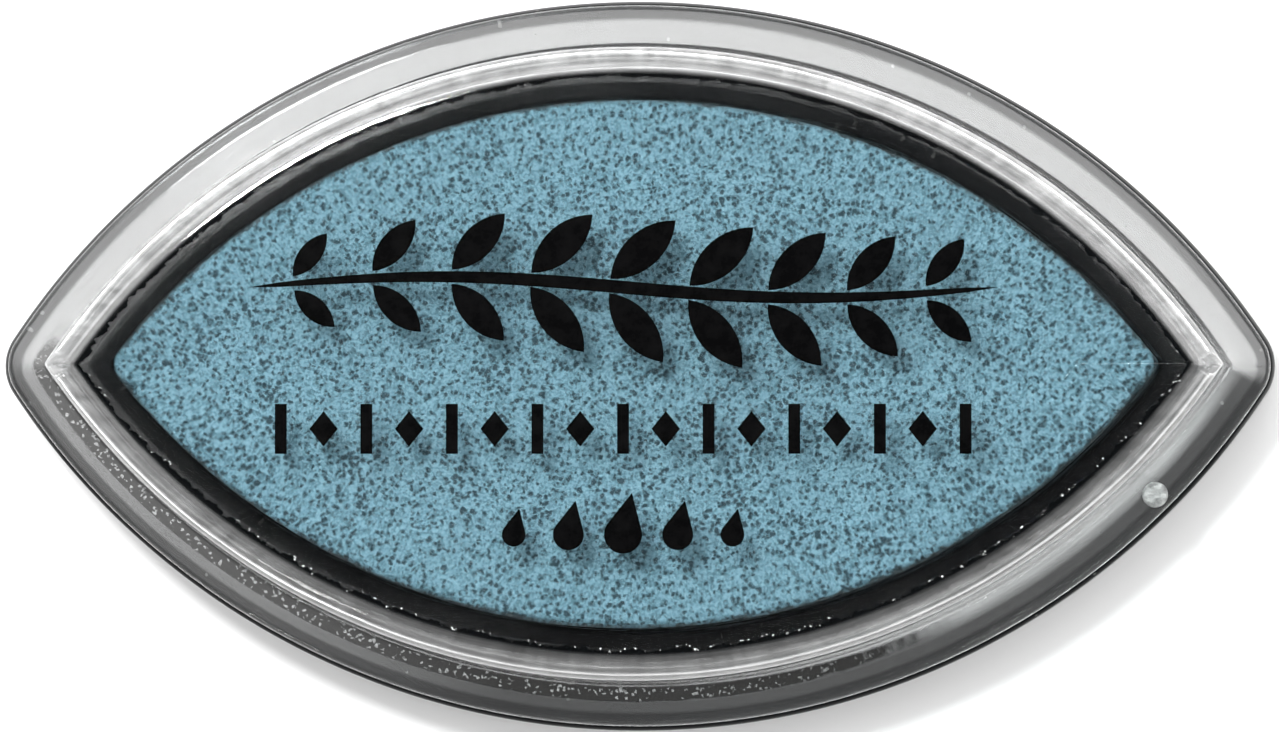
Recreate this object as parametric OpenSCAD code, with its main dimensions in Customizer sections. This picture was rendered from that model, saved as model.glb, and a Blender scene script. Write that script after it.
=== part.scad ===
// Eye-shaped ink pad: a black tray holds a raised foam pad, and a clear lid lifts off it.
// Millimetres. The origin is at the centre of the tray's foot, +X runs from tip to tip and +Z is up.
// Walls are placed by their inset, which is how far they stand in from the outer outline.

/* [Outline] */
// Length over the two tips
pad_l = 54; // [51:1:60]
// Width across the middle
pad_w = 31; // [29:1:34]
// Radius of the two rounded tips
tip_r = 2.1; // [1.5:0.1:2.6]

/* [Tray] */
// Height of the flange that the lid rests on
flange_z = 5; // [4.5:0.5:6]
// Depth of the hollow underneath, which drops over the lid of another pad
recess_h = 2; // [1.5:0.5:2.5]
// Thickness of the foot ring round that hollow
foot_t = 1.8; // [1.4:0.1:1.9]
// Thickness of the floor under the foam
floor_t = 1.4; // [1:0.1:1.8]
// Thickness of the flange
flange_t = 1.3; // [1:0.1:1.5]
// Height of the wall that guides the lid, above the flange
guide_h = 3; // [2:0.5:4]
// Thickness of that wall
guide_t = 1; // [0.8:0.05:1.1]

/* [Lid] */
// Height of the closed pad, without the print
closed_h = 15.4; // [14.5:0.1:17]
// Inset of the lid's edge
lid_setback = 0.2; // [0.1:0.1:0.4]
// Inset of the lid's wall, where it meets the brim
lid_wall_in = 2; // [1.9:0.1:2.3]
// Thickness of the lid's wall
lid_wall_t = 1; // [0.9:0.05:1.2]
// Thickness of the lid's top
lid_top_t = 1.3; // [1:0.1:1.6]
// Radius of the shoulder between the lid's wall and its top
shoulder_r = 1.25; // [0.9:0.05:1.4]
// Thickness of the brim at its edge
brim_t = 1.3; // [1:0.1:1.6]
// Slope of the brim and of the flange under it, in degrees
brim_slope = 15; // [5:1:20]

/* [Foam] */
// Height of the reservoir foam
reservoir_h = 3.45; // [2.5:0.05:4]
// Air between the foam's face and the lid
head_room = 1; // [0.5:0.1:1.5]
// Radius of the foam's two tips
foam_tip_r = 0.9; // [0.6:0.1:1.2]
// Radius that the foam's upper edge is worn to
foam_edge_r = 0.4; // [0.3:0.1:1]

/* [Print] */
// Length of the leafy sprig on the lid
sprig_l = 31.6; // [24:0.2:32]
// Pairs of leaves on the sprig
leaf_pairs = 9; // [5:1:11]
// Length of the band of bars and diamonds
band_l = 28.8; // [20:0.2:29]
// Bars and diamonds in the band, counted together
band_marks = 17; // [9:2:21]

/* [Hidden] */
$fn = 128;

cut = 1;                // how far a hollow runs past the face that it opens in
fillet_steps = 6;

// The long sides are two arcs, which the tip circles touch
side_r = (pow(pad_l / 2 - tip_r, 2) + pow(pad_w / 2, 2) - pow(tip_r, 2)) / (2 * (pad_w / 2 - tip_r));
side_y = side_r - pad_w / 2;

lid_gap = 0.05;         // between the brim and the flange, measured upright
slide_gap = 0.2;        // between the lid's wall and the guide wall
foam_gap = 0.15;        // between the foam and the well
draft = 0.15;           // how far the lid's wall leans in by its top

floor_z = recess_h + floor_t;
lid_z = flange_z + lid_gap;
lid_ceiling_z = closed_h - lid_top_t;
lid_hollow_in = lid_wall_in + lid_wall_t;
guide_in = lid_hollow_in + slide_gap;
well_in = guide_in + guide_t;
foam_in = well_in + foam_gap;
well_tip_r = foam_tip_r + foam_gap;
sharp_r = 0.3;          // tip radius of an outline that is all but mitred

foot_chamfer = 0.3;
flange_edge_r = 0.4;
flange_rise = (lid_wall_in - flange_edge_r) * tan(brim_slope);
guide_chamfer = 0.25;
well_wall_t = 1.2;
core_in = well_in - well_wall_t;    // the flange is cored out below, up to the well's own wall
grip_r = 0.3;           // ribs on the guide wall that hold the lid
grip_proud = 0.08;
grip_angles = [-16, 16];        // from the middle of each long side

brim_edge_r = 0.35;
brim_corner_r = 0.3;
hollow_corner_r = 0.1;
lead_in = 0.25;
gate_r = 0.55;          // moulding gate's stub on the brim
gate_h = 0.35;
gate_in = 0.95;
gate_angle = -45;

adhesive_t = 0.15;
adhesive_margin = 0.35;
reservoir_z = floor_z + adhesive_t;
face_z = reservoir_z + reservoir_h;
foam_top_z = lid_ceiling_z - head_room;

print_t = 0.05;
print_x = -0.4;
sprig_y = 3.2;
sprig_wave = 0.45;
stem_w = 0.55;
stem_steps = 24;
leaf_l = 3.7;
leaf_w = 1.5;
leaf_angle = 47;
leaf_gap = 0.4;         // from the middle of the stem to the foot of a leaf
end_leaf_size = 0.55;   // the middle leaves have a size of 1
band_y = -2.75;
band_h = 2.1;
bar_w = 0.5;
diamond_w = 1.2;
diamond_h = 1.5;
drops_y = -7.2;
drop_r = 0.8;
drop_tip = 2.25;        // height of a drop's point over its middle, in radii
drop_shrink = 0.15;     // each drop is smaller than the one next to it by this
drop_pitch = 2.3;
drop_slant = -12;

label_t = 0.15;
label_in = 7;
label_margin = 0.2;
patch_in = 12.5;
patch_y = 1.8;
rule_h = 0.35;
rule_y = -2.6;
rule_pitch = 1.4;
rule_lengths = [20, 14, 8];

// Points of a fillet round a centre given as [inset, height], where 0 degrees faces outwards and 90 up
function fillet(centre, r, from, to) = [
    for (i = [0 : fillet_steps])
        let (a = from + (to - from) * i / fillet_steps)
        centre + r * [-cos(a), sin(a)]
];

// Outline between two arcs that meet in sharp points
module lens(length, width) {
    r = (pow(length, 2) + pow(width, 2)) / (4 * width);
    intersection_for (side = [-1, 1])
        translate([0, side * (r - width / 2)]) circle(r);
}

// The pad's outline at an inset, with round tips
module eye(inset, corner_r) {
    r = side_r - inset;
    corner_x = sqrt(pow(r - corner_r, 2) - pow(side_y, 2));
    touch_x = r * corner_x / (r - corner_r);
    intersection() {
        lens(2 * sqrt(pow(r, 2) - pow(side_y, 2)), 2 * (r - side_y));
        square([2 * touch_x, pad_w], center = true);
    }
    for (side = [-1, 1])
        translate([side * corner_x, 0]) circle(corner_r);
}

// Solid whose side follows the outline, with its edge given as [inset, height] points from the bottom up
module eye_solid(edge) {
    last = len(edge) - 1;
    profile = concat(
        [[0, edge[0].y]],
        [for (point = edge) [side_r - point.x, point.y]],
        [[0, edge[last].y]]
    );
    intersection_for (side = [-1, 1])
        translate([0, side * side_y, 0]) rotate_extrude() polygon(profile);
}

module eye_plate(inset, corner_r, z, height) {
    translate([0, 0, z]) linear_extrude(height) eye(inset, corner_r);
}

// Four half-round ribs up the guide wall
module grip_ribs() {
    rib_distance = side_r - guide_in - grip_r + grip_proud;
    for (side = [-1, 1], angle = grip_angles)
        translate([0, -side * side_y, flange_z - cut])
            rotate(side * 90 + angle)
                translate([rib_distance, 0, 0])
                    cylinder(r = grip_r, h = guide_h + cut - 2 * guide_chamfer);
}

module base_tray() {
    guide_top_z = flange_z + guide_h;
    edge = concat(
        [[foot_chamfer, 0], [0, foot_chamfer]],
        fillet([flange_edge_r, flange_z - flange_edge_r], flange_edge_r, 0, 90 - brim_slope),
        [
            [lid_wall_in, flange_z + flange_rise],
            [guide_in, flange_z + flange_rise],
            [guide_in, guide_top_z - guide_chamfer],
            [guide_in + guide_chamfer, guide_top_z]
        ]
    );
    color("#16181a") difference() {
        union() {
            intersection() {
                eye_solid(edge);
                eye_plate(0, tip_r, 0, closed_h);
            }
            grip_ribs();
        }
        eye_plate(well_in, well_tip_r, floor_z, closed_h);
        eye_plate(foot_t, sharp_r, -cut, recess_h + cut);
        difference() {
            eye_plate(foot_t, sharp_r, 0, flange_z - flange_t);
            eye_plate(core_in, sharp_r, -cut, closed_h);
        }
        eye_plate(label_in - label_margin, sharp_r, 0, recess_h + label_t + print_t);
    }
}

module pad_adhesive() {
    color("#d8cfae") eye_plate(foam_in + adhesive_margin, foam_tip_r, floor_z, adhesive_t);
}

module reservoir_foam() {
    color("#3f7d96") eye_plate(foam_in, foam_tip_r, reservoir_z, reservoir_h);
}

module face_foam() {
    edge = concat(
        [[foam_in, face_z]],
        fillet([foam_in + foam_edge_r, foam_top_z - foam_edge_r], foam_edge_r, 0, 90)
    );
    color("#6f9db1") intersection() {
        eye_solid(edge);
        eye_plate(foam_in, foam_tip_r, 0, closed_h);
    }
}

module lid_outside() {
    wall_top_in = lid_wall_in + draft;
    brim_edge = [lid_setback + brim_edge_r, lid_z + brim_t - brim_edge_r];
    brim_corner_in = lid_wall_in - brim_corner_r;
    // The brim's slope touches both fillets
    brim_corner_z = brim_edge.y + (brim_corner_in - brim_edge.x) * tan(brim_slope)
        + (brim_edge_r + brim_corner_r) / cos(brim_slope);
    edge = concat(
        [[lid_setback, lid_z]],
        fillet(brim_edge, brim_edge_r, 0, 90 - brim_slope),
        fillet([brim_corner_in, brim_corner_z], brim_corner_r, -90 - brim_slope, -180),
        fillet([wall_top_in + shoulder_r, closed_h - shoulder_r], shoulder_r, 0, 90)
    );
    intersection() {
        eye_solid(edge);
        eye_plate(lid_setback, tip_r - lid_setback, 0, closed_h + cut);
    }
}

module lid_hollow() {
    corner = [lid_hollow_in + draft + hollow_corner_r, lid_ceiling_z - hollow_corner_r];
    wall_foot_z = lid_z + flange_rise;
    edge = concat(
        [
            [flange_edge_r, lid_z - cut],
            [flange_edge_r, lid_z],
            [lid_wall_in, wall_foot_z],
            [lid_hollow_in - lead_in, wall_foot_z],
            [lid_hollow_in, wall_foot_z + lead_in]
        ],
        fillet(corner, hollow_corner_r, 0, 90)
    );
    intersection() {
        eye_solid(edge);
        eye_plate(flange_edge_r, tip_r - flange_edge_r, lid_z - cut, closed_h);
    }
}

module gate_stub() {
    brim_top_z = lid_z + brim_t;
    translate([0, side_y, lid_z + gate_h])
        rotate(gate_angle)
            translate([side_r - gate_in, 0, 0])
                cylinder(r = gate_r, h = brim_top_z - lid_z);
}

module lid_shell() {
    color("#dfe6e8", 0.35) difference() {
        union() {
            lid_outside();
            gate_stub();
        }
        lid_hollow();
    }
}

// Thin solid of ink on the lid, moved to a place on its top
module lid_ink(x, y) {
    color("#0b0b0c") translate([x, y, closed_h]) linear_extrude(print_t) children();
}

// The stem is one wave long. share runs from 0 at its left end to 1 at its right end
function stem_point(share) = [sprig_l * (share - 0.5), sprig_wave * sin(360 * share)];
function stem_slope(share) = atan(sprig_wave * 2 * PI * cos(360 * share) / sprig_l);
function stem_half_w(share) = stem_w / 2 * sqrt(sin(180 * share));

module stem() {
    shares = [for (i = [0 : stem_steps]) i / stem_steps];
    upper = [for (share = shares) stem_point(share) + [0, stem_half_w(share)]];
    lower = [for (share = shares) stem_point(1 - share) - [0, stem_half_w(1 - share)]];
    polygon(concat(upper, lower));
}

// Leaf that points along +X, just clear of the stem at the origin
module leaf(size) {
    translate([leaf_gap + size * leaf_l / 2, 0]) lens(size * leaf_l, size * leaf_w);
}

module lid_print_sprig() {
    lid_ink(print_x, sprig_y) {
        stem();
        for (i = [1 : leaf_pairs]) {
            share = (i - 0.5) / (leaf_pairs + 0.5);
            size = end_leaf_size + (1 - end_leaf_size) * sin(180 * share);
            for (side = [-1, 1])
                translate(stem_point(share))
                    rotate(stem_slope(share) + side * leaf_angle)
                        leaf(size);
        }
    }
}

module diamond() {
    polygon([[diamond_w / 2, 0], [0, diamond_h / 2], [-diamond_w / 2, 0], [0, -diamond_h / 2]]);
}

module lid_print_band() {
    lid_ink(print_x, band_y)
        for (i = [0 : band_marks - 1])
            translate([band_l * (i / (band_marks - 1) - 0.5), 0])
                if (i % 2 == 0) square([bar_w, band_h], center = true);
                else diamond();
}

// Round drop that runs up to a point
module drop(r) {
    touch_angle = acos(1 / drop_tip);
    touch = r * [sin(touch_angle), cos(touch_angle)];
    circle(r);
    polygon([[0, drop_tip * r], [-touch.x, touch.y], touch]);
}

module lid_print_drops() {
    lid_ink(print_x, drops_y)
        for (i = [-2 : 2])
            translate([i * drop_pitch, 0]) rotate(drop_slant) drop(drop_r - drop_shrink * abs(i));
}

module base_label() {
    color("#f0efe8") eye_plate(label_in, sharp_r, recess_h + print_t, label_t);
}

module base_label_patch() {
    color("#6f9db1") translate([0, patch_y, 0]) eye_plate(patch_in, sharp_r, recess_h, print_t);
}

module base_label_rules() {
    color("#2b2d2f")
        for (i = [0 : len(rule_lengths) - 1])
            translate([0, rule_y - i * rule_pitch, recess_h + print_t / 2])
                cube([rule_lengths[i], rule_h, print_t], center = true);
}

base_tray();
pad_adhesive();
reservoir_foam();
face_foam();
lid_shell();
lid_print_sprig();
lid_print_band();
lid_print_drops();
base_label();
base_label_patch();
base_label_rules();
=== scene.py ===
"""Looks of the eye-shaped ink pad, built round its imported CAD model.

Lengths are in metres, in the CAD model's own frame: +X from tip to tip, +Z up through the lid.
A wall is placed by its inset, which is how far it stands in from the outer outline.
"""

import math
import random

import bpy
import numpy as np
from mathutils import Matrix, Vector, kdtree, noise


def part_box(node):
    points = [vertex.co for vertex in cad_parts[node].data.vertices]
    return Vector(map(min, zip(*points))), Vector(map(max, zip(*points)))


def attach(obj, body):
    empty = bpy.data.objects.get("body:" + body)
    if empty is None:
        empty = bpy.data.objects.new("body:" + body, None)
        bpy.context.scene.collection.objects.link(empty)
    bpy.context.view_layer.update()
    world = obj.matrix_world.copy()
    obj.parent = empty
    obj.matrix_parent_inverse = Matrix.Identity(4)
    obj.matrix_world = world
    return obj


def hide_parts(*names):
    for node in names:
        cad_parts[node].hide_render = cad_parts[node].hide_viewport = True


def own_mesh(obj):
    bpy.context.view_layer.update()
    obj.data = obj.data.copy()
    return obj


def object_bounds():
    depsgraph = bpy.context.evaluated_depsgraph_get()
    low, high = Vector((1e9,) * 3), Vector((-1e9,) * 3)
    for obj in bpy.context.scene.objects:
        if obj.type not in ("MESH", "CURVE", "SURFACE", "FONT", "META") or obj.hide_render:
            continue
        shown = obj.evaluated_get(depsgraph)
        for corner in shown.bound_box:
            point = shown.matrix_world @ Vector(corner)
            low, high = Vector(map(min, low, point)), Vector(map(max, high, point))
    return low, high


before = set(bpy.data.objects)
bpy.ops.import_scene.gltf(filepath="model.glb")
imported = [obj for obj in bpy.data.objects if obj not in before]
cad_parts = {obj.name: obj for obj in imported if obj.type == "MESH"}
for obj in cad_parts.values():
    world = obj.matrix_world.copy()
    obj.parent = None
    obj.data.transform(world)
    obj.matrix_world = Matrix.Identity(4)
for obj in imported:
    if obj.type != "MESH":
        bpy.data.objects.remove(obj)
cad_lo, cad_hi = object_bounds()

MM = 0.001

# ---------------------------------------------------------------------------------------------
# Sizes, from the frame's boxes and from the CAD source
# ---------------------------------------------------------------------------------------------

HALF_L = cad_hi.x
HALF_W = cad_hi.y
TIP_R = 2.1 * MM
SIDE_R = ((HALF_L - TIP_R) ** 2 + HALF_W**2 - TIP_R**2) / (2 * (HALF_W - TIP_R))
SIDE_Y = SIDE_R - HALF_W

tray_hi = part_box("base_tray")[1]
lid_lo, lid_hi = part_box("lid_shell")
foam_lo, foam_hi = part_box("face_foam")
reservoir_lo, reservoir_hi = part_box("reservoir_foam")
label_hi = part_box("base_label")[1]

# Foam
FOAM_IN = HALF_W - foam_hi.y
FOAM_TIP_R = 0.9 * MM
FACE_EDGE_R = 0.4 * MM
RESERVOIR_EDGE_R = 0.3 * MM

# Lid
BRIM_IN = HALF_W - lid_hi.y
BRIM_T = 1.3 * MM
BRIM_TILT = math.radians(15)
BRIM_EDGE_R = 0.35 * MM
BRIM_CORNER_R = 0.3 * MM
LID_WALL_IN = 2.0 * MM
LID_HOLLOW_IN = 3.0 * MM
LID_DRAFT = 0.15 * MM
LID_TOP_T = 1.3 * MM
SHOULDER_R = 1.25 * MM
HOLLOW_CORNER_R = 0.1 * MM
LEAD_IN = 0.25 * MM

# Stub of the moulding gate, on the lid's brim
GATE_R = 0.55 * MM
GATE_H = 0.35 * MM
GATE_IN = 0.95 * MM
GATE_ANGLE = math.radians(-45)

# Tray
FLANGE_Z = 5.0 * MM
FLANGE_EDGE_R = 0.4 * MM
FLANGE_T = 1.3 * MM
FOOT_R = 0.3 * MM
FOOT_T = 1.8 * MM
RECESS_Z = 2.0 * MM
FLOOR_Z = 3.4 * MM
FLANGE_RISE = (LID_WALL_IN - FLANGE_EDGE_R) * math.tan(BRIM_TILT)
GUIDE_IN = 3.2 * MM
GUIDE_T = 1.0 * MM
CORE_IN = 3.0 * MM
LABEL_POCKET_IN = 6.8 * MM
LABEL_POCKET_Z = label_hi.z


# ---------------------------------------------------------------------------------------------
# Mesh tools
# ---------------------------------------------------------------------------------------------


def mesh_object(name, vertices, faces):
    """A smooth-shaded mesh object in the scene."""
    mesh = bpy.data.meshes.new(name)
    mesh.from_pydata([tuple(v) for v in vertices], [], faces)
    mesh.shade_smooth()
    mesh.update()
    made = bpy.data.objects.new(name, mesh)
    bpy.context.scene.collection.objects.link(made)
    return made


def eye_quarter(inset, corner_r, side_steps, tip_steps):
    """Points of the outline from the right tip to the middle of the back, both ends included."""
    r = SIDE_R - inset
    corner_x = math.sqrt((r - corner_r) ** 2 - SIDE_Y**2)
    touch = math.atan2(SIDE_Y, corner_x)
    tip = np.linspace(0, touch, tip_steps, endpoint=False)
    side = np.linspace(touch, math.pi / 2, side_steps + 1)
    tip_points = np.column_stack((corner_x + corner_r * np.cos(tip), corner_r * np.sin(tip)))
    side_points = np.column_stack((r * np.cos(side), r * np.sin(side) - SIDE_Y))
    side_points[-1, 0] = 0.0
    return np.vstack((tip_points, side_points))


def eye_ring(inset, corner_r, side_steps, tip_steps):
    """The whole outline anticlockwise from the right tip, with no point twice."""
    back = eye_quarter(inset, corner_r, side_steps, tip_steps)
    half = np.vstack((back[:-1], (back * (-1, 1))[::-1][:-1]))
    return np.vstack((half, -half))


def fillet(centre, r, start, end, steps):
    """Points of a fillet round (inset, z), where 0 degrees faces outwards and 90 up."""
    angles = np.radians(np.linspace(start, end, steps + 1))
    return [(centre[0] - r * math.cos(a), centre[1] + r * math.sin(a)) for a in angles]


def supported(edge):
    """The same edge, with points near both ends of each flat stretch to keep its shading flat."""
    near = 0.04 * MM
    points = [edge[0]]
    for start, end in zip(edge, edge[1:]):
        run = math.dist(start, end)
        if run > 8 * near:
            for share in (near / run, 1 - near / run):
                points.append(tuple(a + share * (b - a) for a, b in zip(start, end)))
        points.append(end)
    return points


def loft(name, edge, least_corner, side_steps=96, tip_steps=10):
    """A closed solid whose side follows the outline. edge lists (inset, z) from the middle of its
    upper face, over its side, to the middle of its lower face. The attribute track holds each
    point's inset, its way round the outline and its height, all in millimetres."""
    edge = supported(edge)
    outline = eye_ring(0, TIP_R, side_steps, tip_steps)
    way = np.cumsum(np.linalg.norm(np.diff(outline, axis=0, prepend=outline[:1]), axis=1))
    vertices = []
    track = []
    for inset, z in edge:
        corner = max(TIP_R - inset, least_corner)
        for (x, y), along in zip(eye_ring(inset, corner, side_steps, tip_steps), way):
            vertices.append((x, y, z))
            track += (inset / MM, along / MM, z / MM)
    count = len(outline)
    faces = [list(range(count))]
    for k in range(len(edge) - 1):
        upper, lower = k * count, (k + 1) * count
        for j in range(count):
            n = (j + 1) % count
            faces.append([upper + j, lower + j, lower + n, upper + n])
    last = (len(edge) - 1) * count
    faces.append([last + j for j in reversed(range(count))])
    made = mesh_object(name, vertices, faces)
    made.data.attributes.new("track", "FLOAT_VECTOR", "POINT").data.foreach_set("vector", track)
    return made


# ---------------------------------------------------------------------------------------------
# Node tools
# ---------------------------------------------------------------------------------------------


class Nodes:
    """A node tree, with short ways to add the nodes that are used most."""

    def __init__(self, tree, coordinates):
        self.tree = tree
        self.coordinates = tree.nodes.new("ShaderNodeTexCoord").outputs[coordinates]

    def node(self, kind, inputs=(), **settings):
        """A new node. inputs gives each socket a value, or another node's output to link to."""
        made = self.tree.nodes.new(kind)
        for key, value in settings.items():
            setattr(made, key, value)
        for socket, value in dict(inputs).items():
            if isinstance(value, bpy.types.NodeSocket):
                self.tree.links.new(value, made.inputs[socket])
            else:
                made.inputs[socket].default_value = value
        return made

    def stretched(self, scale, vector=None):
        """A vector, scaled by a different amount along each axis."""
        inputs = {"Vector": vector or self.coordinates, "Scale": scale}
        return self.node("ShaderNodeMapping", inputs).outputs[0]

    def parts(self, vector):
        """The outputs X, Y and Z of a vector."""
        return self.node("ShaderNodeSeparateXYZ", {0: vector}).outputs

    def vector_maths(self, operation, first, second=(0, 0, 0)):
        return self.node("ShaderNodeVectorMath", {0: first, 1: second}, operation=operation)

    def noise(self, scale, detail=2.0, roughness=0.5, vector=None, output="Fac"):
        inputs = {
            "Vector": vector or self.coordinates,
            "Scale": scale,
            "Detail": detail,
            "Roughness": roughness,
        }
        return self.node("ShaderNodeTexNoise", inputs).outputs[output]

    def cells(self, scale, vector=None):
        """Distance from the nearest of many scattered points."""
        inputs = {"Vector": vector or self.coordinates, "Scale": scale}
        return self.node("ShaderNodeTexVoronoi", inputs).outputs["Distance"]

    def spread(self, value, low, high, to_low=0.0, to_high=1.0, interpolation="LINEAR"):
        """value from low to high, mapped onto to_low to to_high and held there beyond."""
        inputs = {
            "Value": value,
            "From Min": low,
            "From Max": high,
            "To Min": to_low,
            "To Max": to_high,
        }
        made = self.node("ShaderNodeMapRange", inputs, interpolation_type=interpolation)
        return made.outputs["Result"]

    def maths(self, operation, first, *others):
        """One operation, applied to all the values from left to right."""
        for other in others:
            made = self.node("ShaderNodeMath", {0: first, 1: other}, operation=operation)
            first = made.outputs[0]
        return first

    def product(self, *values):
        return self.maths("MULTIPLY", *values)

    def mix(self, share, first, second):
        """A colour between first and second, by share."""
        inputs = {0: share, 6: first, 7: second}
        return self.node("ShaderNodeMix", inputs, data_type="RGBA").outputs[2]

    def ramp(self, value, stops):
        """Grey brightness by value. stops lists (value, brightness)."""
        made = self.node("ShaderNodeValToRGB", {0: value})
        elements = made.color_ramp.elements
        while len(elements) < len(stops):
            elements.new(0.5)
        for element, (position, brightness) in zip(elements, stops):
            element.position = position
            element.color = (brightness, brightness, brightness, 1)
        return made.outputs[0]


class Shade(Nodes):
    """A material with a Principled shader."""

    def __init__(self, name, **plain):
        self.material = bpy.data.materials.new(name)
        self.material.use_nodes = True
        super().__init__(self.material.node_tree, "Object")
        self.shader = self.tree.nodes["Principled BSDF"]
        self.output = self.tree.nodes["Material Output"]
        for socket, value in plain.items():
            self.shader.inputs[socket.replace("_", " ")].default_value = value

    def set(self, socket, value):
        """Links a node's output to one of the shader's sockets."""
        self.tree.links.new(value, self.shader.inputs[socket])

    def blend(self, share, other):
        """Shows the shader, mixed with another one by share."""
        inputs = {0: share, 1: self.shader.outputs[0], 2: other}
        mixed = self.node("ShaderNodeMixShader", inputs)
        self.tree.links.new(mixed.outputs[0], self.output.inputs["Surface"])

    def track(self):
        """Inset, way round the outline and height in millimetres, as one vector."""
        return self.node("ShaderNodeAttribute", attribute_name="track").outputs["Vector"]

    def front(self):
        """0 over the back of the pad and 1 over its front."""
        return self.spread(self.parts(self.coordinates)["Y"], 2 * MM, -4 * MM)

    def bump(self, height, distance, strength=1.0, below=None):
        """A normal that is dented by height, on top of the one below."""
        inputs = {"Height": height, "Distance": distance, "Strength": strength}
        if below is not None:
            inputs["Normal"] = below
        return self.node("ShaderNodeBump", inputs).outputs["Normal"]


def paint(piece, shade):
    """Gives a piece one material."""
    piece.data.materials.clear()
    piece.data.materials.append(shade.material)


# ---------------------------------------------------------------------------------------------
# Materials
# ---------------------------------------------------------------------------------------------


def clear_plastic():
    """Moulded clear plastic. Its shoulder is scuffed, and ink has crept along the corner inside.
    Above the front of the brim, the groove holds painted shade and painted glints on the left and
    a pale haze on the right."""
    shade = Shade("clear_plastic", IOR=1.59)
    # Insets and heights in millimetres, as the track gives them
    hollow_in = (LID_HOLLOW_IN + LID_DRAFT) / MM
    ceiling_z = (lid_hi.z - LID_TOP_T) / MM
    shoulder_z = (lid_hi.z - SHOULDER_R) / MM
    wall_in = LID_WALL_IN / MM
    brim_z = (lid_lo.z + BRIM_T - BRIM_EDGE_R) / MM

    track = shade.track()
    inset, _, height = shade.parts(track)
    place = shade.parts(shade.coordinates)
    front = shade.front()
    left = shade.spread(place["X"], 14 * MM, -3 * MM)
    rings = shade.noise(1, 4, 0.65, vector=shade.stretched((7, 0.1, 0.5), track))
    rays = shade.noise(1, 3, 0.6, vector=shade.stretched((0.5, 1.6, 0.3), track))
    ragged = shade.noise(1, 5, 0.75, vector=shade.stretched((0.6, 0.9, 0.2), track))
    crooked = shade.noise(1, 2, 0.5, vector=shade.stretched((6, 6, 6), track), output="Color")
    crooked = shade.vector_maths("MULTIPLY", crooked, (0.3, 0.3, 0.3)).outputs[0]
    crooked = shade.vector_maths("ADD", track, crooked).outputs[0]

    # Ink in the inside corner, under the shoulder, with glints along its ragged border
    beyond = shade.maths("SUBTRACT", inset, shade.spread(ragged, 0.3, 0.7, -0.15, 0.22))
    down = shade.maths("ADD", height, shade.spread(ragged, 0.35, 0.7, 0, 0.4))
    inside = shade.product(
        shade.spread(inset, hollow_in - 0.55, hollow_in - 0.45),
        shade.spread(height, ceiling_z + 0.2, ceiling_z + 0.1),
        shade.spread(down, ceiling_z - 0.3, ceiling_z - 0.2),
    )
    rim = shade.product(inside, shade.spread(beyond, hollow_in + 0.31, hollow_in + 0.27))
    ink = shade.product(inside, shade.spread(beyond, hollow_in + 0.25, hollow_in + 0.22))
    ink = shade.product(ink, shade.spread(place["Y"], 9 * MM, 5 * MM, 0.55, 1))
    glints = shade.spread(shade.cells(1, shade.stretched((6, 4, 4), crooked)), 0.3, 0.2)
    glints = shade.product(glints, shade.maths("SUBTRACT", rim, ink), front, 0.7)

    # Scuffs on the outside of the shoulder, fainter along the front
    shoulder = shade.product(
        shade.spread(height, shoulder_z - 0.55, shoulder_z + 0.25),
        shade.spread(inset, hollow_in + 0.15, hollow_in - 0.55),
    )
    outer = shade.maths(
        "MAXIMUM",
        shade.spread(inset, hollow_in - 0.55, hollow_in - 0.65),
        shade.spread(height, shoulder_z + 0.05, shoulder_z + 0.15),
    )
    scuffs = shade.spread(shade.product(rings, rays), 0.12, 0.36, 0.06, 0.24)
    scuffs = shade.product(shoulder, outer, scuffs, shade.spread(front, 0, 1, 1, 0.5))

    # Painted shade, painted glints and haze on the upper face of the brim, next to the wall
    brim = shade.product(
        shade.spread(height, brim_z + 0.1, brim_z + 0.3),
        shade.spread(height, brim_z + 1, brim_z + 0.9),
        front,
    )
    groove = shade.product(
        shade.spread(inset, wall_in - 0.8, wall_in - 0.6),
        shade.spread(inset, wall_in - 0.1, wall_in - 0.25),
        brim,
        left,
    )
    # Painted glints: pale specks along the groove
    groove_glints = shade.spread(shade.cells(1, shade.stretched((5.2, 4.2, 1), crooked)), 0.4, 0.14)
    groove_glints = shade.product(groove_glints, groove, shade.spread(rays, 0.28, 0.42))
    # Painted shade: a darker band in the groove
    groove_shade = shade.product(groove, shade.spread(ragged, 0.3, 0.65, 0.1, 0.4))
    haze = shade.product(
        shade.spread(inset, wall_in - 0.8, wall_in - 0.25),
        brim,
        shade.spread(place["X"], 0, 13 * MM, 0, 0.38),
        rings,
        shade.spread(groove_shade, 0, 0.2, 1, 0),
    )
    groove_shade = shade.product(groove_shade, shade.spread(groove_glints, 0.3, 0.1))

    white = shade.maths("MAXIMUM", scuffs, glints, haze, shade.product(groove_glints, 0.2))
    colour = shade.mix(white, (0.965, 0.975, 0.975, 1), (0.8, 0.8, 0.79, 1))
    colour = shade.mix(shade.spread(groove_shade, 0, 0.06), colour, (0.012, 0.012, 0.011, 1))
    colour = shade.mix(shade.spread(ink, 0, 0.05), colour, (0.0015, 0.0018, 0.002, 1))
    shade.set("Base Color", colour)
    cover = shade.maths("MAXIMUM", white, ink, groove_shade)
    shade.set("Transmission Weight", shade.maths("SUBTRACT", 1.0, cover))
    shade.set("Specular IOR Level", shade.spread(ink, 0, 1, 0.5, 0))
    shade.set("Roughness", shade.spread(shade.noise(180, 4, 0.6), 0.35, 0.75, 0.02, 0.06))
    ripples = shade.noise(420, 1, vector=shade.stretched((0.35, 1, 1)))
    ripples = shade.bump(ripples, 0.03 * MM, 0.4)
    shade.set("Normal", shade.bump(rings, 0.012 * MM, 0.4, below=ripples))

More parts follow.
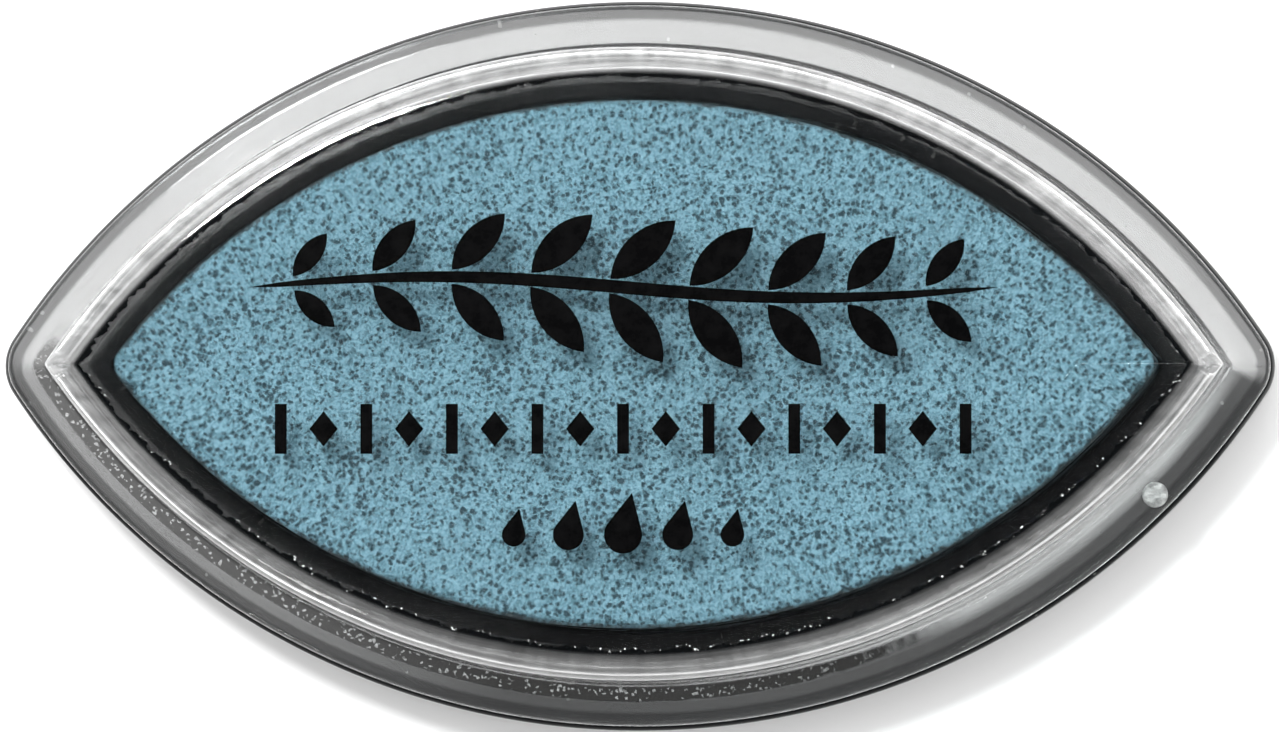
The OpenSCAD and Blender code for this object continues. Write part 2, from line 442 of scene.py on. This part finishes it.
    # Lamps shine straight through, so that the foam is lit and the print throws its shadow
    to_lamp = shade.node("ShaderNodeLightPath").outputs["Is Shadow Ray"]
    through = shade.node("ShaderNodeBsdfTransparent", {"Color": (0.93, 0.95, 0.95, 1)})
    shade.blend(to_lamp, through.outputs[0])
    return shade


def frosted_plastic():
    """The torn face of the moulding gate."""
    shade = Shade("frosted_plastic", IOR=1.59)
    grain = shade.noise(5000, 4, 0.7)
    torn = shade.noise(1, 3, 0.6, vector=shade.stretched((2600, 5200, 2600)))
    light = shade.spread(shade.product(grain, torn), 0.12, 0.38)
    shade.set("Base Color", shade.mix(light, (0.12, 0.125, 0.125, 1), (0.5, 0.51, 0.5, 1)))
    shade.set("Transmission Weight", shade.spread(light, 0, 1, 0.8, 0.35))
    shade.set("Roughness", shade.spread(grain, 0.3, 0.7, 0.35, 0.6))
    shade.set("Normal", shade.bump(torn, 0.12 * MM, 0.9))
    return shade


def black_plastic():
    """Moulded black plastic with a fine grain, rubbed patches and a little dust."""
    shade = Shade("black_plastic", IOR=1.5)
    dust = shade.spread(shade.cells(900), 0.09, 0.05)
    haze = shade.spread(shade.noise(150, 4, 0.6), 0.35, 0.8)
    base = shade.mix(haze, (0.002, 0.0022, 0.0024, 1), (0.004, 0.0043, 0.0045, 1))
    shade.set("Base Color", shade.mix(dust, base, (0.05, 0.05, 0.048, 1)))
    shade.set("Roughness", shade.spread(haze, 0, 1, 0.07, 0.14))
    # Painted shade: along the front, the edge of the flange reflects less
    track = shade.track()
    inset = shade.parts(track)["X"]
    front_edge_shade = shade.product(shade.front(), shade.spread(inset, 0.35, 0.25))
    shade.set("Specular IOR Level", shade.spread(front_edge_shade, 0, 1, 0.5, 0.05))
    grain = shade.bump(shade.noise(3800, 3, 0.6), 0.0004 * MM, 0.4)
    rings = shade.noise(1, 3, 0.6, vector=shade.stretched((9, 0.1, 2), track))
    shade.set("Normal", shade.bump(rings, 0.01 * MM, 0.4, below=grain))
    return shade


def inked_foam(name, light, mid, dark, pore):
    """Fine-celled foam soaked with ink. The mesh's own pore attribute paints shade in its larger
    holes.
    """
    shade = Shade(name, Specular_IOR_Level=0.2)
    # Cells with crooked outlines
    crooked = shade.noise(5000, 2, output="Color")
    crooked = shade.vector_maths("SUBTRACT", crooked, (0.5, 0.5, 0.5)).outputs[0]
    crooked = shade.vector_maths("MULTIPLY", crooked, (0.3 * MM, 0.3 * MM, 0.3 * MM)).outputs[0]
    place = shade.vector_maths("ADD", shade.coordinates, crooked).outputs[0]
    large = shade.cells(3900, place)
    small = shade.cells(7000, place)
    dents = shade.node("ShaderNodeAttribute", attribute_name="pore").outputs["Fac"]
    # Painted shade: cells darken holes and fine specks, and the bump below dents them
    clusters = shade.spread(shade.noise(650, 3, 0.6), 0.4, 0.6, 0.41, 0.52)
    holes = shade.spread(shade.maths("SUBTRACT", clusters, large), -0.04, 0.22)
    specks = shade.spread(small, 0.5, 0.28)
    mottle = shade.noise(6500, 2, 0.6)
    crumbs = shade.spread(shade.noise(9000, 2, 0.6), 0.3, 0.7)
    base = shade.mix(shade.spread(mottle, 0.42, 0.56), mid, light)
    base = shade.mix(shade.product(shade.spread(mottle, 0.46, 0.36), 0.6), base, dark)
    base = shade.mix(shade.product(specks, 0.7), base, dark)
    base = shade.mix(shade.product(dents, 0.45), base, dark)
    base = shade.mix(holes, base, pore)
    # Painted shade round the edge of the foam, with a ragged border
    quadrant = shade.vector_maths("ABSOLUTE", shade.coordinates).outputs[0]
    flat = shade.vector_maths("MULTIPLY", quadrant, (1, 1, 0)).outputs[0]
    from_middle = shade.vector_maths("ADD", flat, (0, SIDE_Y, 0)).outputs[0]
    radius = shade.vector_maths("LENGTH", from_middle).outputs["Value"]
    inset = shade.maths("SUBTRACT", SIDE_R, radius)
    ragged = shade.spread(shade.noise(1300, 4, 0.75), 0.48, 0.68, 0, 0.28 * MM)
    inset = shade.maths("SUBTRACT", inset, ragged)
    edge_shade = shade.spread(inset, FOAM_IN + 0.05 * MM, FOAM_IN + 0.02 * MM, 0, 0.8)
    shade.set("Base Color", shade.mix(edge_shade, base, (0.003, 0.006, 0.007, 1)))
    shade.set("Roughness", shade.spread(crumbs, 0, 1, 0.6, 0.85))
    relief = shade.maths("ADD", shade.product(holes, -1), shade.product(specks, -0.5))
    cells = shade.bump(relief, 0.06 * MM, 0.6)
    shade.set("Normal", shade.bump(crumbs, 0.015 * MM, 0.5, below=cells))
    return shade


def print_ink(name, colour, worn):
    """Printed ink: nearly even, with a soft mottle and a slight grain."""
    shade = Shade(name, Specular_IOR_Level=0.015)
    mottle = shade.spread(shade.noise(1600, 4, 0.7), 0.4, 0.75)
    shade.set("Base Color", shade.mix(mottle, colour, worn))
    shade.set("Roughness", shade.spread(mottle, 0, 1, 0.25, 0.4))
    shade.set("Normal", shade.bump(shade.noise(7000, 2), 0.004 * MM, 0.5))
    return shade


def label_paper():
    """Coated white paper with faint fibres."""
    shade = Shade("label_paper")
    fibres = shade.noise(2400, 5, 0.7, vector=shade.stretched((0.3, 1, 1)))
    tone = shade.spread(fibres, 0.3, 0.7)
    shade.set("Base Color", shade.mix(tone, (0.78, 0.77, 0.72, 1), (0.88, 0.87, 0.83, 1)))
    shade.set("Roughness", shade.spread(tone, 0, 1, 0.55, 0.75))
    shade.set("Normal", shade.bump(fibres, 0.01 * MM, 0.5))
    return shade


def adhesive():
    """Cloudy pressure-sensitive adhesive with trapped air."""
    shade = Shade("adhesive")
    cloud = shade.spread(shade.noise(700, 4, 0.6), 0.35, 0.7)
    shade.set("Base Color", shade.mix(cloud, (0.55, 0.48, 0.3, 1), (0.72, 0.66, 0.46, 1)))
    shade.set("Roughness", shade.spread(cloud, 0, 1, 0.3, 0.6))
    shade.set("Normal", shade.bump(shade.cells(1200), 0.02 * MM, 0.5))
    return shade


# ---------------------------------------------------------------------------------------------
# Lid
# ---------------------------------------------------------------------------------------------


def make_lid():
    """The lid's shell, from the middle of its top, down its outside and back up its inside."""
    wall_top_in = LID_WALL_IN + LID_DRAFT
    hollow_in = LID_HOLLOW_IN + LID_DRAFT
    top_z = lid_hi.z
    bottom_z = lid_lo.z
    ceiling_z = top_z - LID_TOP_T
    brim_edge = (BRIM_IN + BRIM_EDGE_R, bottom_z + BRIM_T - BRIM_EDGE_R)
    corner_in = LID_WALL_IN - BRIM_CORNER_R
    corner_z = brim_edge[1] + (corner_in - brim_edge[0]) * math.tan(BRIM_TILT)
    corner_z += (BRIM_EDGE_R + BRIM_CORNER_R) / math.cos(BRIM_TILT)
    tilt = math.degrees(BRIM_TILT)
    foot_r = 0.12 * MM
    middle_in = 7 * MM
    edge = [(middle_in, top_z)]
    edge += fillet((wall_top_in + SHOULDER_R, top_z - SHOULDER_R), SHOULDER_R, 90, 0, 14)
    edge += fillet((corner_in, corner_z), BRIM_CORNER_R, 180, 270 - tilt, 6)
    edge += fillet(brim_edge, BRIM_EDGE_R, 90 - tilt, 0, 7)
    edge += fillet((BRIM_IN + foot_r, bottom_z + foot_r), foot_r, 0, -90, 3)
    edge += [(FLANGE_EDGE_R, bottom_z), (LID_WALL_IN, bottom_z + FLANGE_RISE)]
    edge += [(LID_HOLLOW_IN - LEAD_IN, bottom_z + FLANGE_RISE)]
    edge += [(LID_HOLLOW_IN, bottom_z + FLANGE_RISE + LEAD_IN)]
    hollow_corner = (hollow_in + HOLLOW_CORNER_R, ceiling_z - HOLLOW_CORNER_R)
    edge += fillet(hollow_corner, HOLLOW_CORNER_R, 0, 90, 6)
    edge += [(middle_in, ceiling_z)]
    return loft("lid_body", edge, 0.2 * MM)


def make_gate():
    """The moulding gate's stub on the brim, snapped off unevenly."""
    foot_z = lid_lo.z + BRIM_T
    top_z = foot_z + GATE_H
    distance = SIDE_R - GATE_IN
    centre_x = distance * math.cos(GATE_ANGLE)
    centre_y = distance * math.sin(GATE_ANGLE) + SIDE_Y
    centre = Vector((centre_x, centre_y, 0))
    count = 28
    # Each row of points has its share of the radius, its height and its roughness
    rows = (
        (1.0, foot_z, 0),
        (1.0, top_z - 0.12 * MM, 0.06),
        (0.86, top_z, 0.1),
        (0.4, top_z, 0.14),
    )
    vertices = []
    for size, z, rough in rows:
        for k in range(count):
            turn = 2 * math.pi * k / count
            out = Vector((math.cos(turn), math.sin(turn), 0))
            bite = max(noise.noise(out * 2.3 + Vector((0, 0, z / MM))), 0)
            point = centre + out * GATE_R * size * (1 - rough * bite)
            vertices.append((point.x, point.y, z - rough * 2 * bite * MM))
    faces = [list(reversed(range(count)))]
    for row in range(len(rows) - 1):
        for k in range(count):
            n = (k + 1) % count
            a, b = row * count, (row + 1) * count
            faces.append([a + k, a + n, b + n, b + k])
    last = (len(rows) - 1) * count
    faces.append([last + k for k in range(count)])
    return mesh_object("lid_gate", vertices, faces)


# ---------------------------------------------------------------------------------------------
# Tray
# ---------------------------------------------------------------------------------------------


def make_tray():
    """The tray, from the middle of its well, over its wall and flange and under its foot."""
    well_in = GUIDE_IN + GUIDE_T
    guide_z = tray_hi.z
    core_z = FLANGE_Z - FLANGE_T
    small_r = 0.12 * MM
    middle_in = 8 * MM
    edge = [(middle_in, FLOOR_Z)]
    edge += fillet((well_in + small_r, FLOOR_Z + small_r), small_r, 270, 360, 3)
    edge += fillet((well_in - small_r, guide_z - small_r), small_r, 180, 90, 4)
    edge += fillet((GUIDE_IN + 2 * small_r, guide_z - 2 * small_r), 2 * small_r, 90, 0, 5)
    edge += fillet((GUIDE_IN - small_r, FLANGE_Z + FLANGE_RISE + small_r), small_r, -180, -90, 3)
    edge += [(LID_WALL_IN, FLANGE_Z + FLANGE_RISE)]
    tilt = math.degrees(BRIM_TILT)
    edge += fillet((FLANGE_EDGE_R, FLANGE_Z - FLANGE_EDGE_R), FLANGE_EDGE_R, 90 - tilt, 0, 6)
    edge += fillet((FOOT_R, FOOT_R), FOOT_R, 0, -90, 4)
    edge += fillet((FOOT_T - small_r, small_r), small_r, 270, 180, 3)
    edge += fillet((FOOT_T + small_r, core_z - small_r), small_r, 0, 90, 3)
    edge += fillet((CORE_IN - small_r, core_z - small_r), small_r, 90, 180, 3)
    edge += fillet((CORE_IN + small_r, RECESS_Z + small_r), small_r, 0, -90, 3)
    edge += [(LABEL_POCKET_IN, RECESS_Z), (LABEL_POCKET_IN, LABEL_POCKET_Z)]
    edge += [(middle_in, LABEL_POCKET_Z)]
    return loft("tray_body", edge, 0.3 * MM)


# ---------------------------------------------------------------------------------------------
# Foam
# ---------------------------------------------------------------------------------------------


def foam_block(name, low_z, high_z, edge_r, columns, rows, side_rows, crown):
    """A closed block of foam with the pad's outline. Its upper face is a grid of columns steps
    along each half of a long side and rows points across, and swells by crown in the middle.
    side_rows lists the heights of the points down its sides."""
    quarter = eye_quarter(FOAM_IN, FOAM_TIP_R, columns, tip_steps=8)
    right = quarter[::-1]
    xs = np.concatenate((-quarter[:-1, 0], right[:, 0]))
    halves = np.concatenate((quarter[:-1, 1], right[:, 1]))
    across = np.linspace(-1, 1, rows)
    corner_x = xs[-1] - FOAM_TIP_R
    vertices = [(xs[0], 0, high_z - edge_r)]
    for x, half in zip(xs[1:-1], halves[1:-1]):
        for v in across:
            y = v * half
            depth = SIDE_R - FOAM_IN - math.hypot(x, abs(y) + SIDE_Y)
            if abs(x) > corner_x:
                depth = min(depth, FOAM_TIP_R - math.hypot(abs(x) - corner_x, y))
            into = max(edge_r - depth, 0.0)
            drop = edge_r - math.sqrt(max(edge_r**2 - into**2, 0.0))
            swell = crown * (1 - (x / HALF_L) ** 2 - (y / HALF_W) ** 2)
            vertices.append((x, y, high_z - drop - crown + swell * (1 - drop / edge_r)))
    vertices.append((xs[-1], 0, high_z - edge_r))
    inner = len(xs) - 2
    end = len(vertices) - 1
    faces = []
    for i in range(inner - 1):
        for j in range(rows - 1):
            near = 1 + i * rows + j
            faces.append([near, near + rows, near + rows + 1, near + 1])
    for j in range(rows - 1):
        faces.append([0, 1 + j, 2 + j])
        faces.append([end, end - rows + j + 1, end - rows + j])
    front = [0] + [1 + i * rows for i in range(inner)] + [end]
    back = [i * rows for i in range(inner, 0, -1)]
    rim = front + back
    above = rim
    for z in side_rows:
        start = len(vertices)
        vertices += [(vertices[r][0], vertices[r][1], z) for r in rim]
        below = list(range(start, start + len(rim)))
        for j in range(len(rim)):
            n = (j + 1) % len(rim)
            faces.append([above[j], below[j], below[n], above[n]])
        above = below
    faces.append(list(reversed(above)))
    return mesh_object(name, vertices, faces)


def open_pores(piece, seed, count, least_r, most_r, deep, keep_below):
    """Dents the piece with count pores, all above keep_below. A point goes in by the pore's radius
    times deep at most. The attribute pore holds how deep each point lies, from 0 to 1."""
    reach = 1.4
    crookedness = 0.5
    steepness = 1.6
    chance = random.Random(seed)
    mesh = piece.data
    points = np.array([v.co for v in mesh.vertices])
    normals = np.array([v.normal for v in mesh.vertices])
    tree = kdtree.KDTree(len(points))
    for index, point in enumerate(points):
        tree.insert(point, index)
    tree.balance()
    # A point is picked more often the more face there is round it. The one large face underneath
    # doesn't count.
    areas = np.zeros(len(points))
    for face in mesh.polygons:
        if len(face.vertices) <= 4:
            areas[list(face.vertices)] += face.area
    areas[points[:, 2] < keep_below] = 0
    depth = np.zeros(len(points))
    for middle in chance.choices(range(len(points)), weights=areas, k=count):
        r = least_r + (most_r - least_r) * chance.random() ** 2
        for point, index, distance in tree.find_range(points[middle], reach * r):
            wobble = 1 + crookedness * noise.noise(point / r * 1.3)
            share = distance / (r * wobble)
            if share < 1:
                depth[index] = max(depth[index], min(1, steepness * (1 - share**2)) * r)
    moved = points - normals * (depth * deep)[:, None]
    mesh.vertices.foreach_set("co", moved.ravel())
    attribute = mesh.attributes.new("pore", "FLOAT", "POINT")
    attribute.data.foreach_set("value", np.clip(depth / (0.6 * most_r), 0, 1))
    mesh.update()


def make_face_foam():
    """The inked face, with side rows that are close above the tray and wide apart inside it."""
    above_tray = np.arange(foam_hi.z - FACE_EDGE_R - 0.2 * MM, tray_hi.z, -0.25 * MM)
    inside_tray = np.linspace(tray_hi.z - 0.1 * MM, foam_lo.z, 4)
    piece = foam_block(
        "foam_face",
        foam_lo.z,
        foam_hi.z,
        FACE_EDGE_R,
        columns=205,
        rows=185,
        side_rows=np.concatenate((above_tray, inside_tray)),
        crown=0.12 * MM,
    )
    open_pores(
        piece,
        seed=7,
        count=9000,
        least_r=0.08 * MM,
        most_r=0.15 * MM,
        deep=0.7,
        keep_below=tray_hi.z,
    )
    return piece


def make_reservoir_foam():
    """The coarser foam under the face."""
    piece = foam_block(
        "foam_reservoir",
        reservoir_lo.z,
        reservoir_hi.z,
        RESERVOIR_EDGE_R,
        columns=60,
        rows=41,
        side_rows=np.linspace(reservoir_hi.z - 2 * RESERVOIR_EDGE_R, reservoir_lo.z, 9),
        crown=0.05 * MM,
    )
    open_pores(
        piece,
        seed=11,
        count=900,
        least_r=0.3 * MM,
        most_r=0.6 * MM,
        deep=0.5,
        keep_below=reservoir_lo.z,
    )
    return piece


# ---------------------------------------------------------------------------------------------
# Build
# ---------------------------------------------------------------------------------------------

lid = make_lid()
paint(lid, clear_plastic())
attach(lid, "lid")
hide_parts("lid_shell")

gate = make_gate()
paint(gate, frosted_plastic())
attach(gate, "lid")

tray = make_tray()
paint(tray, black_plastic())
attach(tray, "base")
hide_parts("base_tray")

face = make_face_foam()
paint(face, inked_foam(
    "inked_foam",
    light=(0.063, 0.12, 0.147, 1),
    mid=(0.043, 0.09, 0.112, 1),
    dark=(0.02, 0.052, 0.068, 1),
    pore=(0.004, 0.015, 0.021, 1),
))
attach(face, "pad_face")
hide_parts("face_foam")

reservoir = make_reservoir_foam()
paint(reservoir, inked_foam(
    "soaked_foam",
    light=(0.05, 0.12, 0.155, 1),
    mid=(0.035, 0.09, 0.12, 1),
    dark=(0.018, 0.05, 0.07, 1),
    pore=(0.008, 0.025, 0.036, 1),
))
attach(reservoir, "base")
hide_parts("reservoir_foam")
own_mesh(reservoir)

black_ink = print_ink("black_ink", (0.0006, 0.0006, 0.0007, 1), (0.0012, 0.0012, 0.0013, 1))
blue_ink = print_ink("blue_ink", (0.16, 0.34, 0.44, 1), (0.22, 0.41, 0.5, 1))
grey_ink = print_ink("grey_ink", (0.03, 0.03, 0.035, 1), (0.06, 0.06, 0.065, 1))
for node in ("lid_print_sprig", "lid_print_band", "lid_print_drops"):
    paint(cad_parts[node], black_ink)
paint(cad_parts["base_label"], label_paper())
paint(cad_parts["base_label_patch"], blue_ink)
paint(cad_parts["base_label_rules"], grey_ink)
paint(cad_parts["pad_adhesive"], adhesive())

# ---------------------------------------------------------------------------------------------
# Stage, light and camera
# ---------------------------------------------------------------------------------------------


def make_floor():
    """A pale table top just below the foot. For views of the pad's underside it can be seen through
    from below, and is open under the pad, where nothing shows from above."""
    gap = 0.01 * MM
    size = 130      # of the floor, in sizes of its hole
    ring = eye_ring(FOOT_T / 2, TIP_R / 2, side_steps=24, tip_steps=4)
    hole = [Vector((x, y, -gap)) for x, y in ring]
    edge = [Vector((point.x * size, point.y * size, point.z)) for point in hole]
    count = len(hole)
    faces = [[k, count + k, count + (k + 1) % count, (k + 1) % count] for k in range(count)]
    floor = mesh_object("floor", hole + edge, faces)
    shade = Shade("pale_floor", Base_Color=(0.65, 0.65, 0.65, 1), Roughness=0.8)
    from_below = shade.node("ShaderNodeNewGeometry").outputs["Backfacing"]
    shade.blend(from_below, shade.node("ShaderNodeBsdfTransparent").outputs[0])
    paint(floor, shade)


def direction(azimuth, polar):
    """Unit vector at an azimuth from +X and an angle down from straight up, both in degrees."""
    a, p = math.radians(azimuth), math.radians(polar)
    return Vector((math.cos(a) * math.sin(p), math.sin(a) * math.sin(p), math.cos(p)))


def make_lamp(name, azimuth, polar, width, height, radiance):
    """A flat oval lamp, turned to the pad. width runs level and height across it."""
    distance = 0.6
    lamp = bpy.data.lights.new(name, "AREA")
    lamp.shape = "ELLIPSE"
    lamp.size = width
    lamp.size_y = height
    area = math.pi * width * height / 4
    lamp.energy = radiance * math.pi * area
    made = bpy.data.objects.new(name, lamp)
    place = direction(azimuth, polar) * distance
    made.location = place
    made.rotation_euler = (-place).to_track_quat("-Z", "Y").to_euler()
    bpy.context.scene.collection.objects.link(made)


def make_room():
    """Wide soft windows high behind the pad, a paler patch high at the front left, and a dim room
    round the rest. Nothing bright is straight above, so the lid's flat top shows no glare. Each
    ramp runs from 0, level with the pad, to 1, straight above it."""
    world = bpy.data.worlds.new("room")
    bpy.context.scene.world = world
    world.use_nodes = True
    room = Nodes(world.node_tree, "Generated")
    height = room.parts(room.coordinates)["Z"]
    level = room.vector_maths("MULTIPLY", room.coordinates, (1, 1, 0)).outputs[0]
    level = room.vector_maths("NORMALIZE", level).outputs[0]
    front = room.ramp(height, (
        (0.0, 0.09),
        (0.5, 0.09),
        (0.89, 0.07),
        (0.95, 0.03),
        (0.98, 0.002),
    ))
    front_left = room.ramp(height, (
        (0.0, 0.09),
        (0.6, 0.12),
        (0.89, 0.35),
        (0.95, 0.05),
        (0.98, 0.002),
    ))
    back = room.ramp(height, (
        (0.0, 0.09),
        (0.5, 0.14),
        (0.64, 0.48),
        (0.87, 0.56),
        (0.95, 0.15),
        (0.98, 0.003),
    ))
    leftness = room.spread(room.parts(level)["X"], -0.25, -0.95)
    front = room.mix(leftness, front, front_left)
    windows = direction(80, 90)
    facing = room.vector_maths("DOT_PRODUCT", level, windows).outputs["Value"]
    backness = room.spread(facing, -0.45, 0.15, interpolation="SMOOTHSTEP")
    background = world.node_tree.nodes["Background"]
    background.inputs["Strength"].default_value = 10
    room.tree.links.new(room.mix(backness, front, back), background.inputs["Color"])


def make_camera():
    """Looks straight down from a little to the right and the front, with the pad filling the
    frame's width."""
    camera = bpy.data.cameras.new("camera")
    made = bpy.data.objects.new("camera", camera)
    bpy.context.scene.collection.objects.link(made)
    distance = 1.0
    to_right = math.radians(1.6)
    to_front = math.radians(0.6)
    target = Vector((0, 0, FLANGE_Z))
    back = Vector((math.sin(to_right), -math.sin(to_front), 1)).normalized()
    across = Vector((0, 1, 0)).cross(back).normalized()
    turn = Matrix((across, back.cross(across), back)).transposed()
    made.matrix_world = Matrix.Translation(target + back * distance) @ turn.to_4x4()
    margin = 1.0063
    frame_w = 2 * HALF_L * margin
    camera.sensor_width = 36
    camera.lens = camera.sensor_width * distance / frame_w
    bpy.context.scene.camera = made


make_floor()
make_room()
make_lamp("key_lamp", azimuth=125, polar=20, width=0.09, height=0.09, radiance=180)
# The lid's rounded shoulder mirrors these two as thin lines along the front left
make_lamp("slot_lamp_upper", azimuth=241, polar=66, width=0.07, height=0.02, radiance=16)
make_lamp("slot_lamp_lower", azimuth=238, polar=73, width=0.08, height=0.02, radiance=16)
make_camera()
bpy.context.scene.view_settings.view_transform = "Standard"
